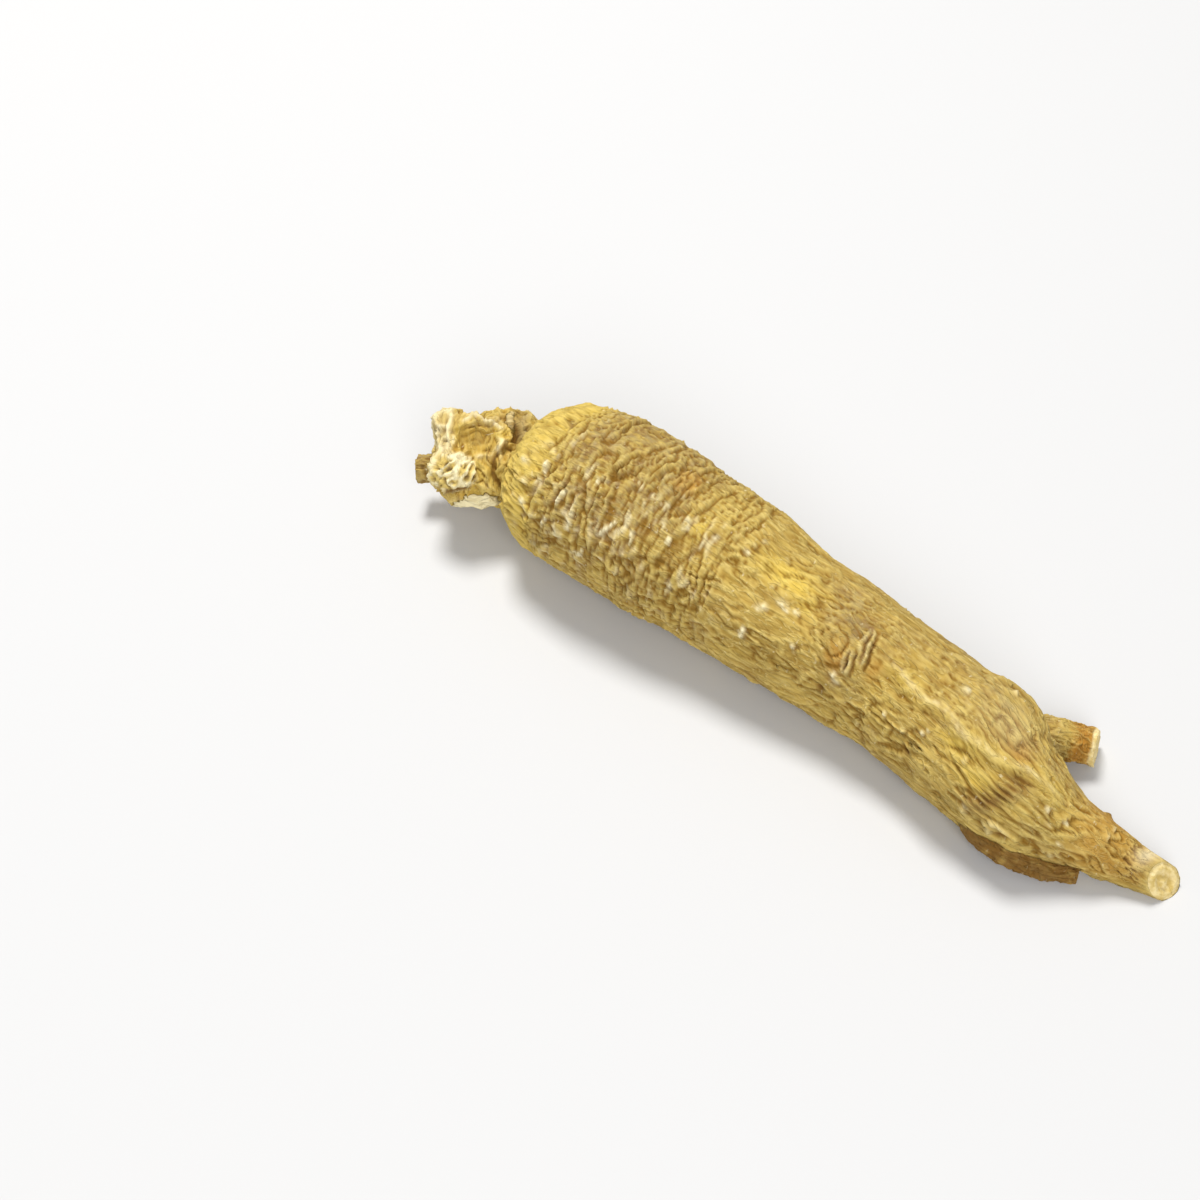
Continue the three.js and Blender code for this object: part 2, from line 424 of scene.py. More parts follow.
class Bark(Surface):
    """The taproot's surface, and what its marks are placed by."""

    def __init__(self, skin):
        radius = np.maximum(taproot_radius(skin.along), 0.3)
        super().__init__(round_axis(skin.along, radius * skin.reach, skin.turn))
        self.along, self.turn, self.radius = skin.along, skin.turn, radius
        self.up = self.facing(85)
        self.drift = sway(self.straight, (6, 5, 5), 1)
        self.wobble = sway(self.straight, (1.6, 1.4, 1.4), 61)
        self.ragged = 0.35 + 1.1 * crests(self.straight / [0.9, 0.7, 0.7], 22)

    def facing(self, degrees):
        """1 on the side at a turn, -1 on the side away from it."""
        return np.cos(self.turn - math.radians(degrees))

    def gap(self, degrees):
        return across(self.turn, degrees, self.radius)

    def spot(self, at, degrees, length, width):
        """1 at a place on the root, fading away round it."""
        return np.exp(-((self.along - at) / length) ** 2 - (self.gap(degrees) / width) ** 2)


def add_wrinkles(bark):
    """Lumps, rays on the cap, long wrinkles along the root and close rings round its shoulder."""
    along, p, drift, wobble = bark.along, bark.straight, bark.drift, bark.wobble
    capped = 1 - step(4.5, 10.5, along + 2.5 * drift[:, 1])
    shoulder = band(5, 31, 3, along + 2 * drift[:, 0])
    lower = shoulder * step(0.2, 0.8, bark.facing(33))
    ringed = shoulder * np.clip(0.55 + 0.6 * bark.up, 0, 1)
    curly = band(34, 62, 4, along) * step(-0.1, 0.5, bark.facing(115))
    before_tail = 1 - step(70, 76, along)
    lengthwise = (1 - 0.65 * ringed * step(0.35, 0.9, bark.up)) * (1 - 0.6 * curly)
    calm = np.clip(0.75 + 0.7 * noise(p / [6, 4, 4], 20), 0.2, 1.3)

    bark.relief += 0.34 * noise(p / [9, 6, 6], 4) + 0.12 * noise(p / [4, 2.6, 2.6], 5)
    rays = round_axis(along / 7, 5.2, bark.turn) + 0.35 * drift + 0.15 * wobble
    q = p + 0.6 * drift + 0.22 * wobble
    families = (
        # height of the lines, depth of the creases, share over the root, lines and creases
        (0.24, 0.20, capped * step(0.5, 3.0, bark.radius), folds(rays, 67)),
        (0.20, 0.18, lengthwise, folds(q / [4.6, 1.2, 1.2], 6)),
        (0.14, 0.12, 0.8 - 0.4 * ringed, folds((q + 0.4 * drift) / [8.0, 2.1, 2.1], 7)),
        (0.15, 0.18, ringed, folds(q / [0.95, 4.2, 4.2], 8)),
        (0.19, 0.27, ringed, folds((q + 0.15 * wobble) / [1.7, 7.5, 7.5], 9)),
        (0.17, 0.15, np.maximum(0.85 * curly, 0.25 * before_tail), folds(q / [2.0, 1.4, 1.4], 10)),
    )
    for height, depth, share, (line, crease) in families:
        bark.relief += calm * share * (1 + 0.45 * lower) * (height * line - depth * crease)
        # painted shade in each crease and painted highlight on each raised line
        bark.tint(hollow=share * crease, top=share * line)
    # painted shade deepened on the shoulder, and most on its lower side
    bark.masks["hollow"] *= 0.8 + 0.3 * shoulder + 0.3 * lower

    # dry cream edges on the crests of the lower shoulder, partly painted highlight, since they follow the
    # crests' painted highlight
    flaky_highlight = shoulder * step(0.1, 0.5, noise(p / [1.2, 1.8, 1.8], 66)) * step(0.5, 0.9, bark.facing(38))
    bark.tint(pale=0.6 * flaky_highlight * bark.masks["top"] ** 2.0)

    # yellow cap with painted highlight over it, and grey-brown dirt on the upper rings and in clouds along
    # the root
    cap = band(-2, 8, 3, along)
    bark.masks["top"] += 0.4 * cap
    bark.tint(yellow=1.1 * cap, smooth=0.5 * capped)
    ring_clouds = step(-0.35, 0.5, noise(p / [4, 3, 3], 11) + 0.5 * bark.up - 0.1)
    bark.tint(dirt=1.2 * ringed * ring_clouds * band(8, 24, 4, along))
    bark.tint(dirt=0.5 * step(0.05, 0.6, noise(p / [7, 4, 4], 69)) * step(24, 34, along))


def add_short_scars(bark):
    """Short raised scars across the root, each with a ditch behind it darkened with painted shade."""
    rng = np.random.default_rng(21)
    scars = [(*lenticel, 1.0) for lenticel in LENTICELS]
    for _ in range(SCATTERED_SCARS):
        at = rng.uniform(5, 78)
        degrees = rng.uniform(0, 360)
        half_width = rng.uniform(0.3, 0.9) * (1.2 if at < 30 else 0.8)
        scars.append((at, degrees, half_width, rng.uniform(0.13, 0.2), 0.35))
    for k, (at, degrees, half_width, half_length, paleness) in enumerate(scars):
        gap = bark.gap(degrees)
        lean = (bark.along - at) + (0.3 - 0.25 * (k % 4)) * gap
        lean += 0.2 * bark.drift[:, 2] + 0.12 * bark.wobble[:, 0]
        side = dome(gap, half_width)
        wedge = half_length * (1 + 0.7 * (-1) ** k * np.clip(gap / half_width, -1, 1))
        mark = side ** 0.7 * bell(lean, wedge) * bark.ragged
        ditch = side ** 0.5 * bell(lean - 2.0 * half_length, half_length)
        bark.relief += 0.24 * mark - 0.16 * ditch
        bark.tint(pale=paleness * mark * min(1, 1.2 * half_width), hollow=0.8 * ditch)


def add_crumbs(bark):
    """Crumbs of dry bark."""
    for at, degrees, radius in CRUMBS:
        crumb = bark.spot(at, degrees, radius, radius) * bark.ragged
        bark.relief += 0.22 * crumb
        bark.tint(pale=0.85 * crumb)


def add_shoulder_grooves(bark):
    """Deeper grooves round the shoulder, each beside a low lip."""
    bend = 0.45 * noise(bark.straight / [3, 2, 2], 12) + 0.25 * bark.wobble[:, 1]
    for at, degrees, half_width, depth in SHOULDER_GROOVES:
        gap = bark.gap(degrees)
        lean = bark.along - at - 0.012 * gap * gap + bend
        side = dome(gap, half_width)
        bark.relief += depth * side * (0.45 * bell(lean + 0.5, 0.25) - 1.35 * bell(lean, 0.24))
        # painted shade in each groove
        bark.tint(hollow=side * bell(lean, 0.2))


def add_oval_scar(bark):
    """Oval scar on top of the shoulder, inside a groove."""
    oval = np.hypot((bark.along - 22.0) / 1.5, bark.gap(96) / 2.1)
    bark.relief += 0.14 * (oval < 1) * (1 - oval ** 4) - 0.24 * bell(oval - 1.08, 0.13)
    # painted shade in the groove round the scar; the orange inside it is its own colour
    bark.tint(hollow=0.8 * bell(oval - 1.08, 0.12), orange=0.7 * (1 - step(0.8, 1.05, oval)))


def add_pits_and_patches(bark):
    for at, degrees, length, width, depth in PITS:
        bark.relief -= depth * bark.spot(at, degrees, length, width)
    for mask, patches in PATCHES.items():
        for at, degrees, length, width, strength in patches:
            bark.tint(**{mask: strength * bark.spot(at, degrees, length, width)})


def add_knot(bark):
    """Knot of an old whorl, with swirling ridges and a groove beyond it."""
    at, degrees = KNOT
    knot = np.hypot((bark.along - at) / 1.1, bark.gap(degrees)) + 0.25 * bark.drift[:, 1]
    swirl = (1 - step(1.4, 2.6, knot)) * step(0.15, 0.5, knot)
    lines = 1 - np.abs(np.sin(knot * 2.6 + 1.6 * noise(bark.straight / 1.4, 13)))
    bark.relief += swirl * (0.16 - 0.42 * lines ** 3)
    bark.relief -= 0.3 * bell(knot - 2.5, 0.25) * step(0.0, 1.0, bark.along - at)
    # painted shade in the swirl's grooves
    bark.tint(hollow=1.1 * swirl * lines ** 3)


def add_knot_folds(bark):
    """Folds behind the knot, raised over a dark gap."""
    for at, degrees, half_width, rise in KNOT_FOLDS:
        gap = bark.gap(degrees)
        lean = bark.along - at + 0.22 * gap + 0.4 * noise(bark.straight / 1.5, 14)
        side = dome(gap, half_width) ** 0.6
        apart = 0.75 * side
        lips = bell(lean, 0.2) + 0.7 * bell(lean + apart, 0.2)
        gaps = bell(lean + 0.5 * apart, 0.17) + bell(lean - 0.45, 0.2)
        bark.relief += rise * side * (0.75 * lips - 0.6 * gaps)
        bark.tint(pale=0.3 * side * lips * bark.ragged, yellow=0.9 * side * lips, brown=0.85 * side * gaps)


def add_pale_ridge(bark):
    """Pale ridge that wanders along the root towards the tail, with a hollow below it."""
    gap = bark.gap(curve(RIDGE_AT, RIDGE_TURN)(bark.along))
    crest = band(51.5, 71.5, 2.0, bark.along) * (0.75 + 0.35 * noise(bark.straight / [2.5, 9, 9], 15))
    bark.relief += crest * (0.42 * bell(gap, 0.7) - 0.2 * bell(gap + 1.35, 0.5))
    bark.tint(pale=0.3 * crest * bark.ragged * bell(gap - 0.1, 0.35), yellow=0.8 * crest * bell(gap, 1.0))
    # painted shade in the hollow below the ridge
    bark.tint(hollow=0.6 * crest * bell(gap + 1.3, 0.4))


def add_stain(bark):
    """Oblique brown stain, finely striped."""
    gap = bark.gap(42)
    stain = bell(bark.along - 67.2 - 0.42 * gap, 0.95) * dome(gap, 3.8) ** 0.7
    stripes = 0.5 + 0.5 * np.sin(gap * 2 * math.pi / 0.62 + 1.8 * noise(bark.straight / 1.2, 16))
    bark.relief -= 0.22 * stain * stripes
    bark.tint(brown=stain * (0.4 + 0.75 * stripes), dirt=stain)


def add_curl(bark):
    """Curl of broken bark low on the near side: a raised cream rim round a dark hollow."""
    at, degrees = CURL
    past = bark.along - at
    gap = bark.gap(degrees)
    curl = np.hypot(past, gap / 0.8) + 0.4 * noise(bark.straight / 0.8, 23)
    rim = bell(curl - 1.0, 0.2)
    ditch = bell(curl - 1.5, 0.2)
    inner = (1 - step(0.45, 0.8, curl)) * step(-0.9, 0.3, past - gap)
    bark.relief += 0.36 * rim - 0.4 * inner - 0.3 * ditch
    bark.tint(pale=0.3 * rim * step(-0.4, 0.6, gap - past), brown=0.95 * inner)
    bark.tint(brown=0.75 * ditch * step(-0.6, 0.3, -gap))


def add_tail_marks(bark):
    """Dark nub, and small brown pits on the warm bark before the cut."""
    nub = bark.spot(76.6, 141, 0.4, 0.35)
    pitted = band(80.2, 83.0, 0.5, bark.along) * step(-0.2, 0.6, bark.up)
    veins = line_at_zero(noise(bark.straight / [0.8, 0.7, 0.7], 17), 1.9, 1.5)
    pits = pitted * (1 - step(0.1, 0.45, 1 - veins))
    bark.relief += 0.4 * nub - 0.25 * pits
    bark.tint(brown=np.maximum(1.2 * nub, 0.8 * pits), orange=0.5 * pitted)
    bark.tint(orange=0.55 * band(74, 81, 2.0, bark.along) * step(-0.4, 0.5, bark.up))


def add_cut_face(bark, face, reach):
    """Pale slanted cut with a ring in it, and worn bark before it."""
    p = bark.straight
    rings = reach + 0.12 * noise(p * 0.9, 18)
    cut = np.where(face, 1.0, 0.85 * step(TAPROOT_LENGTH - 0.5, TAPROOT_LENGTH + 0.8, bark.along))
    worn = 1 - 0.75 * step(TAPROOT_LENGTH - 1.3, TAPROOT_LENGTH + 1.0, bark.along)
    face_relief = 0.16 * np.cos(rings * 2 * math.pi * 1.4) + 0.05 * noise(p * 1.7, 18)
    face_pale = 0.5 * step(0.7, 0.85, rings) + 0.4 * (1 - step(0.15, 0.35, rings))
    bark.relief = np.where(face, face_relief, bark.relief * step(0.0, 2.2, bark.radius) * worn)
    masks = bark.masks
    masks["cut"] = cut
    # no painted highlight on the cut face; painted shade in the hollow of its ring, and less painted shade
    # on the worn bark before it
    masks["top"] = masks["top"] * ~face
    masks["orange"] = masks["orange"] * (1 - 0.8 * cut)
    masks["hollow"] = np.where(face, 0.45 * bell(rings - 0.5, 0.1), masks["hollow"] * (1 - 0.7 * cut))
    masks["pale"] = np.where(face, face_pale, masks["pale"])
    bark.tint(pale=0.6 * bark.spot(82.4, 105, 0.9, 1.3) * ~face)


CAP_ROWS = 16
ROW_STEPS = ((31, 0.27), (44, 0.38), (50, 0.24), (72, 0.38), (TAPROOT_LENGTH, 0.30))
CUT_SHARES = (0.97, 0.92, 0.85, 0.77, 0.68, 0.59, 0.5, 0.41, 0.32, 0.23, 0.12)
TAPROOT_SPOT = (0.01, 0.01, 0.96, 0.62)


def taproot_rings():
    """Rings from the cap to the cut, closer where the marks are finer, then in over the cut."""
    angles = [k / CAP_ROWS * math.pi / 2 for k in range(1, CAP_ROWS + 1)]
    places = [CAP_LENGTH * (1 - math.cos(angle)) ** 1.15 for angle in angles]
    along = CAP_LENGTH
    while along < TAPROOT_LENGTH - 0.1:
        along += next(size for end, size in ROW_STEPS if along < end)
        along = min(along, TAPROOT_LENGTH)
        places.append(along)
    rings = [(ring_count(taproot_radius(at)), at, 1.0) for at in places]
    last = rings[-1][0]
    for share in CUT_SHARES:
        rings.append((last if share > 0.5 else 40 if share > 0.25 else 16, TAPROOT_LENGTH, share))
    return [(1, 0.0, 0.0)] + rings + [(1, TAPROOT_LENGTH, 0.0)]


def make_taproot():
    rings = taproot_rings()
    skin = Skin(rings)
    skin.put(taproot_place(skin.along, skin.turn, skin.reach))
    face = skin.face(beyond=TAPROOT_LENGTH / 2)
    bark = Bark(skin)
    for add in (add_wrinkles, add_short_scars, add_crumbs, add_shoulder_grooves, add_oval_scar,
                add_pits_and_patches, add_knot, add_knot_folds, add_pale_ridge, add_stain,
                add_curl, add_tail_marks):
        add(bark)
    add_cut_face(bark, face, skin.reach)
    profile = np.array([[at, taproot_radius(at) * share] for _, at, share in rings])
    travel = np.concatenate([[0], np.cumsum(np.linalg.norm(np.diff(profile, axis=0), axis=1))])
    uv = lay_out(travel[skin.ring][skin.corners] / travel[-1], skin.shares, TAPROOT_SPOT)
    lay_disc(uv, skin, face, (0.9, 0.72), 0.06)
    return make_object("ginseng_root_skin", skin, bark, uv)


# ---- knob
# The knob is worked out on axes turned to its broad scarred face: x along it, y up it, w out of it.
KNOB_AXES = np.array([(0.815, 0.579, 0.0), (-0.444, 0.624, 0.643), (0.372, -0.524, 0.766)])
KNOB_CENTRE = np.array([-20.6, 4.0, 7.9])
KNOB_BLOCK = (4.7, 5.1, 4.1)
KNOB_RADIUS = 5.6
LUMP_BLEND = 14.0  # the higher, the sharper the joins between lumps

KNOB_LUMPS = (
    # x, y, w, radius
    (-3.1, 3.7, 0.8, 2.2),  # lip, upper left
    (2.2, 3.6, 0.2, 2.2),  # lip, upper right
    (-2.6, -1.6, 2.4, 2.8),  # flaky pale lump
    (-1.4, -3.4, 1.0, 2.1),  # below it
    (3.7, -1.4, 2.3, 2.2),  # bud scale
    (4.6, 3.0, 0.2, 2.9),  # neck, upper
    (4.6, -0.4, 0.6, 3.3),  # neck, middle
    (3.0, -2.9, 0.2, 2.6),  # neck, lower
    (5.0, 1.0, -2.0, 3.6),  # back, neck side
    (-1.5, 1.0, -2.2, 3.6),  # back
)


def block_reach(direction, half_sizes, power):
    """Distance from the middle of a rounded block to its surface."""
    block = (np.abs(direction) / np.array(half_sizes)) ** power
    return block.sum(1) ** (-1 / power)


def knob_reach(direction):
    """Distance from the knob's middle to its surface."""
    total = block_reach(direction, KNOB_BLOCK, 4.0) ** LUMP_BLEND
    for *place, radius in KNOB_LUMPS:
        centre = np.array(place)
        towards = direction @ centre
        inside = towards ** 2 - centre @ centre + radius ** 2
        hit = towards + np.sqrt(np.maximum(inside, 0))
        total += np.where(inside > 0, np.maximum(hit, 0), 0) ** LUMP_BLEND
    return total ** (1 / LUMP_BLEND)


def ball(radius):
    """Skin fine enough for a ball of the given radius, and the direction of each point."""
    rows = max(12, int(math.pi * radius / (SPACING * 0.85)))
    rings = [(1, 0.0, 1.0)]
    for k in range(1, rows):
        rings.append((ring_count(radius * math.sin(math.pi * k / rows)), math.pi * k / rows, 1.0))
    rings.append((1, math.pi, 1.0))
    skin = Skin(rings)
    return skin, round_axis(-np.cos(skin.along), np.sin(skin.along), skin.turn)


def ball_uv(skin, spot):
    return lay_out(skin.along[skin.corners] / math.pi, skin.shares, spot)


class KnobBark(Surface):
    """The knob's surface, and what its marks are placed by."""

    def __init__(self, base):
        super().__init__(base[:, [1, 0, 2]] * [1.2, 0.7, 0.7] + [-14.0, 0, 0])
        self.base = base
        self.x, self.y, self.w = base.T
        self.front = step(-0.5, 1.5, self.w)
        self.drift = sway(base, (2.5, 2.5, 2.5), 25)
        self.crumple = crests((base + 0.5 * self.drift) / [1.5, 2.4, 2.0], 30)
        self.line, self.crease = folds((base + 0.4 * self.drift) / [1.2, 1.9, 1.5], 43)

    def disc(self, x, y, half_width, half_height):
        """Distance from a place on the scarred face, 1 at the edge of an oval."""
        return np.hypot((self.x - x) / half_width, (self.y - y) / half_height)


def add_crumpled_bark(knob):
    """Thin crests standing over hollows, drawn out up the knob."""
    base, front = knob.base, knob.front
    small = crests((base + 0.4 * knob.drift) / [0.8, 1.1, 0.9], 31)
    knob.relief += (0.20 + 0.16 * front) * (knob.crumple - 0.35) + (0.06 + 0.10 * front) * (small - 0.35)
    knob.relief += 0.40 * noise(base / 2.8, 32) + 0.22 * knob.line - 0.24 * knob.crease
    # painted shade in the creases and painted highlight on the raised lines
    knob.tint(hollow=knob.crease, top=knob.line, yellow=0.4)
    knob.tint(orange=0.30 * step(-0.2, 0.6, noise(base / 2.5, 33)))
    knob.tint(brown=0.35 * step(0.0, 0.9, noise(base / 2.2, 34)))
    knob.tint(pale=0.22 * knob.crumple * step(-0.3, 0.5, noise(base / 2.5, 28)))


def add_stem_scar(knob):
    """Round hollow scar of an old stem, with curved ridges and a pale broken rim."""
    base = knob.base
    scar = knob.disc(0.3, 2.2, 2.5, 2.1) + 0.16 * noise(base / 1.3, 35)
    inside = (1 - step(0.7, 1.0, scar)) * knob.front
    ridges = np.abs(np.sin(scar * 5.5 + 2.6 * noise(base / 1.7, 36))) * step(0.2, 0.55, scar)
    rim = bell(scar - 1.12, 0.14) * knob.front * step(-0.4, 0.2, noise(base / 1.6, 29))
    knob.relief *= 1 - 0.8 * inside
    knob.relief += 0.28 * rim + inside * (0.28 * ridges ** 2 - 0.85 * (1 - 0.4 * scar))
    knob.clear(inside, "pale", "orange", "brown")
    # painted shade in the scar's hollow, deepest between its ridges
    knob.masks["brown"] += inside * (0.15 + 0.3 * (1 - ridges) ** 2)
    knob.tint(pale=0.65 * rim, orange=0.15 * inside)


def add_flaky_lump(knob):
    """Pale flaky lump with sharp slanting crests and dark holes."""
    base = knob.base
    lump = knob.disc(-2.7, -1.9, 2.8, 2.4) + 0.15 * noise(base / 1.2, 35)
    on_lump = (1 - step(0.75, 1.1, lump)) * knob.front
    slant = np.stack([knob.x + knob.y, 2.4 * (knob.y - knob.x), knob.w], axis=1) / 1.41
    flakes = crests((slant + 0.7 * knob.drift + 0.5) / [1.7, 2.2, 1.5], 37)
    hole = on_lump * (1 - step(0.0, 0.10, flakes)) * step(-0.1, 0.3, noise(base / 1.2, 41))
    knob.relief += on_lump * (0.42 * (flakes - 0.3) + 0.22 * (crests(base / 0.9, 38) - 0.4)) - 0.5 * hole
    knob.clear(on_lump, "pale", "brown", "orange", "hollow")
    knob.tint(pale=on_lump * (0.12 + 0.8 * step(0.1, 0.6, flakes)), brown=0.9 * hole, yellow=0.8 * on_lump)


def add_lip(knob):
    """Pale crumpled lip at the outer end of the knob."""
    outer = 1 - step(-3.2, -2.2, knob.x + 0.5 * knob.drift[:, 0])
    lip = outer * step(-1.5, 0.5, knob.w) * step(-2.0, 0.0, knob.y)
    knob.tint(pale=lip * (0.15 + 0.5 * knob.crumple + 0.35 * knob.line))


def add_crack(knob):
    """Dark crack between the flaky lump and the broken scale."""
    across_crack = bell(knob.y + 3.5 - 0.19 * knob.x, 0.28)
    crack = across_crack * band(-3.6, -0.9, 0.4, knob.x) * step(-1.0, 0.5, knob.w)
    knob.relief -= 0.35 * crack
    knob.clear(crack, "pale")
    knob.tint(brown=1.3 * crack)


def add_bud_scale(knob):
    """Bud scale with a groove round it, olive bark above it, and the narrow neck behind it."""
    bud = knob.disc(3.7, -1.4, 1.5, 2.0) + 0.12 * noise(knob.base / 1.2, 42)
    olive = (1 - step(0.7, 1.2, knob.disc(3.0, 2.8, 1.1, 1.9))) * knob.front
    neck = band(4.3, 6.0, 0.5, knob.x) * step(-1.0, 1.0, knob.w)
    knob.relief += 0.35 * knob.front * (1 - step(0.6, 1.0, bud) - bell(bud - 1.15, 0.14)) - 0.35 * neck
    knob.tint(brown=0.55 * np.maximum(neck, bell(bud - 1.15, 0.16) * knob.front), yellow=0.8 * olive)


def make_knob():
    skin, direction = ball(KNOB_RADIUS)
    base = direction * knob_reach(direction)[:, None]
    skin.put(KNOB_CENTRE + base @ KNOB_AXES)
    knob = KnobBark(base)
    for add in (add_crumpled_bark, add_stem_scar, add_flaky_lump, add_lip, add_crack, add_bud_scale):
        add(knob)
    knob.tint(dirt=0.12 * step(-0.3, 0.5, noise(base / 3, 39)) * (1 - knob.masks["pale"]))
    return make_object("knob_skin", skin, knob, ball_uv(skin, (0.01, 0.65, 0.34, 0.33)))


def make_scale(name, centre, half_sizes, seed, tones, spot):
    """Ragged flat scale of bark on the knob, on the knob's own axes."""
    skin, direction = ball(max(half_sizes))
    where = direction * block_reach(direction, half_sizes, 3.0)[:, None] + np.array(centre)
    skin.put(KNOB_CENTRE + where @ KNOB_AXES)
    surface = Surface(where + np.array([seed * 7.0, 0, 0]))
    surface.relief += 0.22 * (crests(where / [2.6, 0.55, 0.7], seed) - 0.4)
    surface.relief += 0.42 * noise(where / 1.3, seed + 1)
    surface.tint(**tones)
    return make_object(name, skin, surface, ball_uv(skin, spot))


# ---- rootlets
ROOTLET_ROW = 0.25
ROOTLET_CUT_SHARES = (0.96, 0.9, 0.8, 0.65, 0.5, 0.35, 0.2)


def make_rootlet(name, path, radii, seed, spot, paint, lean=(0.0, 0.0)):
    """Round rootlet along a smooth path, with a slanted cut end. `paint` gives its masks."""
    lines = [curve(np.linspace(0, 1, len(path)), [point[k] for point in path]) for k in range(3)]
    thick = curve(np.linspace(0, 1, len(radii)), radii)

    def middle(share):
        return np.stack([line(share) for line in lines], axis=1)

    length = np.linalg.norm(np.diff(middle(np.linspace(0, 1, 200)), axis=0), axis=1).sum()
    count = ring_count(max(radii) * 1.2)
    rows = int(length / ROOTLET_ROW)
    rings = [(1, 0.0, 0.0)]
    rings += [(count, k / rows, 1.0) for k in range(rows + 1)]
    rings += [(count if share > 0.4 else 24, 1.0, share) for share in ROOTLET_CUT_SHARES]
    rings.append((1, 1.0, 0.0))
    skin = Skin(rings)
    t, turn = skin.along, skin.turn
    ahead = unit(middle(np.clip(t + 0.01, 0, 1)) - middle(np.clip(t - 0.01, 0, 1)))
    side = unit(np.cross(ahead, [0, 0, 1.0]))
    above = np.cross(side, ahead)
    radius = thick(t) * skin.reach
    outward = side * np.cos(turn)[:, None] + above * np.sin(turn)[:, None]
    slant = step(0.7, 1.0, t) * radius * (lean[0] * np.cos(turn) + lean[1] * np.sin(turn))
    skin.put(middle(t) + outward * radius[:, None] + ahead * slant[:, None])

    face = skin.face(beyond=0.5)
    p = round_axis(t * length, radius, turn)
    q = p + 0.35 * sway(p, (3, 3, 3), seed)
    line, crease = folds(q / [3.4, 0.85, 0.85], seed + 3)
    cross_line, cross_crease = folds(q / [0.9, 1.6, 1.6], seed + 6)
    wrinkles = 0.15 * line - 0.12 * crease + 0.08 * cross_line - 0.08 * cross_crease
    bark_relief = wrinkles + 0.18 * noise(p / 1.5, seed + 4)
    surface = Surface(p + np.array([seed * 10.0, 0, 0]))
    surface.relief = np.where(face, 0.12 * noise(p * 1.4, seed + 5), bark_relief) * (t > 0.01)
    # painted shade in the creases and painted highlight on the raised lines
    surface.tint(hollow=np.maximum(0.6 * crease, 0.4 * cross_crease) * ~face, top=line * ~face)
    surface.tint(**paint(t, face, p))
    uv = lay_out(t[skin.corners], skin.shares, spot)
    lay_disc(uv, skin, face, (spot[0] + spot[2] + 0.045, spot[1] + 0.04), 0.035)
    return make_object(name, skin, surface, uv)


def paint_far_rootlet(t, face, p):
    """Dirty at its root, red-brown towards its pale cut end."""
    tip = step(0.93, 0.97, t + 0.02 * noise(p / 0.8, 64))
    red = step(0.6, 0.8, t + 0.05 * noise(p, 65)) * (1 - tip)
    return dict(dirt=0.6 * (1 - step(0.45, 0.65, t)), orange=1.5 * red, pale=0.7 * tip, cut=tip,
                brown=0.4 * red * step(-0.2, 0.6, noise(p, 60)))


def paint_lower_rootlet(t, face, p):
    """Dark brown all over."""
    return dict(dirt=0.5, brown=0.95 - 0.35 * step(0.1, 0.5, noise(p, 68)), orange=0.3,
                pale=0.2 * face, cut=0.5 * face)


def paint_stub(t, face, p):
    """Darkened all over with painted shade, dull grey-brown."""
    # here the dirt mask is painted shade all over
    return dict(dirt=0.9, brown=0.25, cut=0.4 * face)


# ---- material
BUMP_STRENGTH = 0.9
BUMP_DEPTH = 0.35 * MM
SPECULAR_LEVEL = 0.15

# hollow, crack and fine_crack are painted shade, top and thread painted highlight; the grey and brown dirt
# tones also paint the stub's shade
TONES = dict(
    deep_straw="a1853f", straw="c2a554", warm_straw="bb9a4d", light_fibre="dcc474", dark_fibre="8a6614",
    crack="7c5a14", fine_crack="7a5a14", thread="e8d287", grey_dirt="a08c62", brown_dirt="7d5c38",
    yellow="e0c052", orange="b2741f", top="dfc878", hollow="7c5610", brown="6e4a1c",
    speck="f3e9c4", pale="f4e9bf", shaded_cut="d8bc70", light_cut="f6e2a8",
)


def tone(name):
    """A named tone as linear colour."""
    parts = [int(TONES[name][k:k + 2], 16) / 255 for k in (0, 2, 4)]
    return tuple(((c + 0.055) / 1.055) ** 2.4 if c > 0.04045 else c / 12.92 for c in parts) + (1.0,)


class Nodes:
    """Short names for wiring a node tree."""

    def __init__(self, tree):
        self.tree = tree

    def add(self, kind, inputs=(), **settings):
        node = self.tree.nodes.new(kind)
        for key, value in settings.items():
            setattr(node, key, value)
        for key, value in dict(inputs).items():
            self.put(node.inputs[key], value)
        return node

    def put(self, socket, value):
        if isinstance(value, bpy.types.NodeSocket):
            self.tree.links.new(value, socket)
        else:
            socket.default_value = value

    def maths(self, operation, a, b=0.0):
        return self.add("ShaderNodeMath", {0: a, 1: b}, operation=operation).outputs[0]

    def times(self, a, b):
        return self.maths("MULTIPLY", a, b)

    def blend(self, share, low, high):
        node = self.add("ShaderNodeMix", data_type="RGBA", clamp_factor=True)
        self.put(node.inputs[0], share)
        self.put(node.inputs[6], low)
        self.put(node.inputs[7], high)
        return node.outputs[2]

    def remap(self, value, low, high, out_low=0.0, out_high=1.0):
        inputs = {0: value, 1: low, 2: high, 3: out_low, 4: out_high}
        return self.add("ShaderNodeMapRange", inputs, clamp=True).outputs[0]

    def cloud(self, place, stretch, detail=3.0, rough=0.55, distortion=0.0):
        """Noise, stretched by so many features to a millimetre on each axis."""
        stretched = self.add("ShaderNodeVectorMath", {0: place, 1: stretch}, operation="MULTIPLY")
        return self.add("ShaderNodeTexNoise", {
            "Vector": stretched.outputs[0], "Scale": 1.0, "Detail": detail, "Roughness": rough,
            "Distortion": distortion,
        }).outputs[0]

    def line(self, value, level, half_width):
        """1 where a value crosses a level, falling to 0 on both sides."""
        away = self.maths("ABSOLUTE", self.maths("SUBTRACT", value, level))
        return self.remap(away, 0.0, half_width, 1.0, 0.0)


